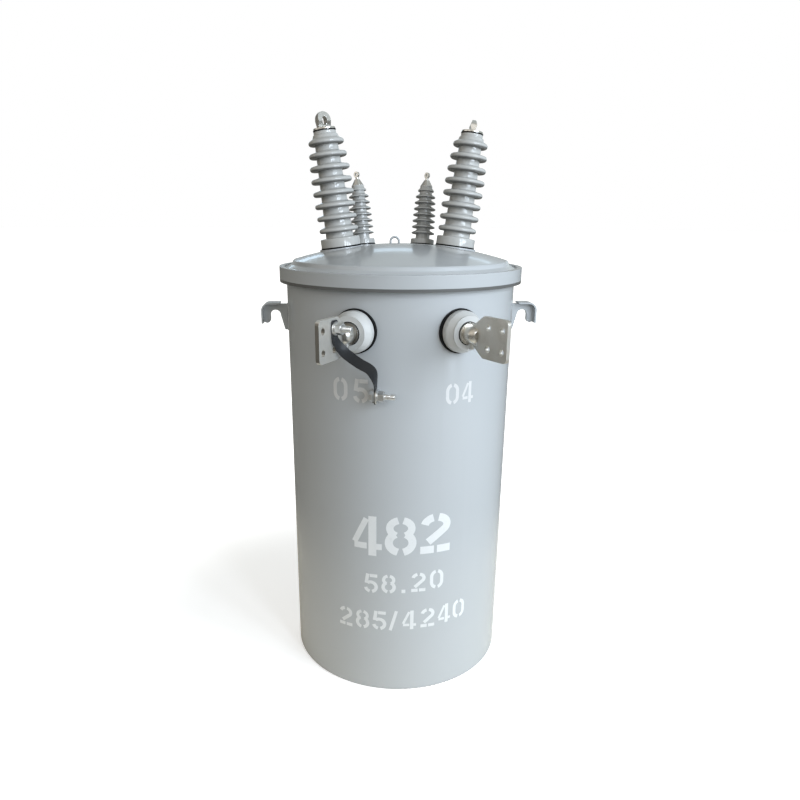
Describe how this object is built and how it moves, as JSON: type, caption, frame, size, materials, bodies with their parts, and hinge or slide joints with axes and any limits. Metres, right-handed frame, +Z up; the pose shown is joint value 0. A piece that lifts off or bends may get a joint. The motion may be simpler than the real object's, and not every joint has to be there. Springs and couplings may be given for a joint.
{
  "type": "pole-mounted distribution transformer",
  "caption": "Upright round oil tank with a clamped domed cover, ribbed high-voltage bushings, spade low-voltage terminals, lifting hooks and pole support lugs.",
  "frame": {"origin": "centre of the tank's flat underside", "axes": "+Z up the axis of the tank; the low-voltage terminals face -Y and the pole support lugs face +Y"},
  "size_m": [0.704, 0.7593, 1.4097],
  "materials": {
    "tank_paint": "light grey gloss enamel",
    "porcelain": "light grey glaze",
    "lv_insulator": "pale grey, satin",
    "gasket": "matte black",
    "plated_metal": "tin plated, satin",
    "weathered_metal": "tin plated, dulled",
    "strap": "black, satin",
    "core_steel": "wound steel strip, blue-grey",
    "winding": "wrapped in brown insulating paper"
  },
  "bodies": {
    "root": {"tank_shell": "tank_paint", "tank_base": "tank_paint", "cover": "tank_paint", "cover_band": "tank_paint", "lifting_lug_left": "tank_paint", "lifting_lug_right": "tank_paint", "support_lug_upper": "tank_paint", "support_lug_lower": "tank_paint", "ground_tab": "tank_paint", "crown_loop": "tank_paint", "hv_bushing_left": "porcelain", "hv_bushing_right": "porcelain", "rear_bushing_left": "porcelain", "rear_bushing_right": "porcelain", "lv_insulator_left": "lv_insulator", "lv_insulator_right": "lv_insulator", "cover_gasket": "gasket", "hv_gasket_left": "gasket", "hv_gasket_right": "gasket", "hv_seal_left": "gasket", "hv_seal_right": "gasket", "rear_gasket_left": "gasket", "rear_gasket_right": "gasket", "lv_gasket_left": "gasket", "lv_gasket_right": "gasket", "lv_oring_left": "gasket", "lv_oring_right": "gasket", "hv_cap_left": "plated_metal", "hv_cap_right": "plated_metal", "hv_connector_left": "plated_metal", "hv_connector_right": "plated_metal", "rear_terminal_left": "plated_metal", "rear_terminal_right": "plated_metal", "lv_terminal_left": "plated_metal", "lv_screws": "plated_metal", "strap_bolt": "plated_metal", "strap_nut": "plated_metal", "ground_bolt": "plated_metal", "ground_nut": "plated_metal", "band_bolt": "plated_metal", "band_nut": "plated_metal", "lv_terminal_right": "weathered_metal", "ground_strap": "strap", "core": "core_steel", "coil": "winding"}
  },
  "joints": []
}
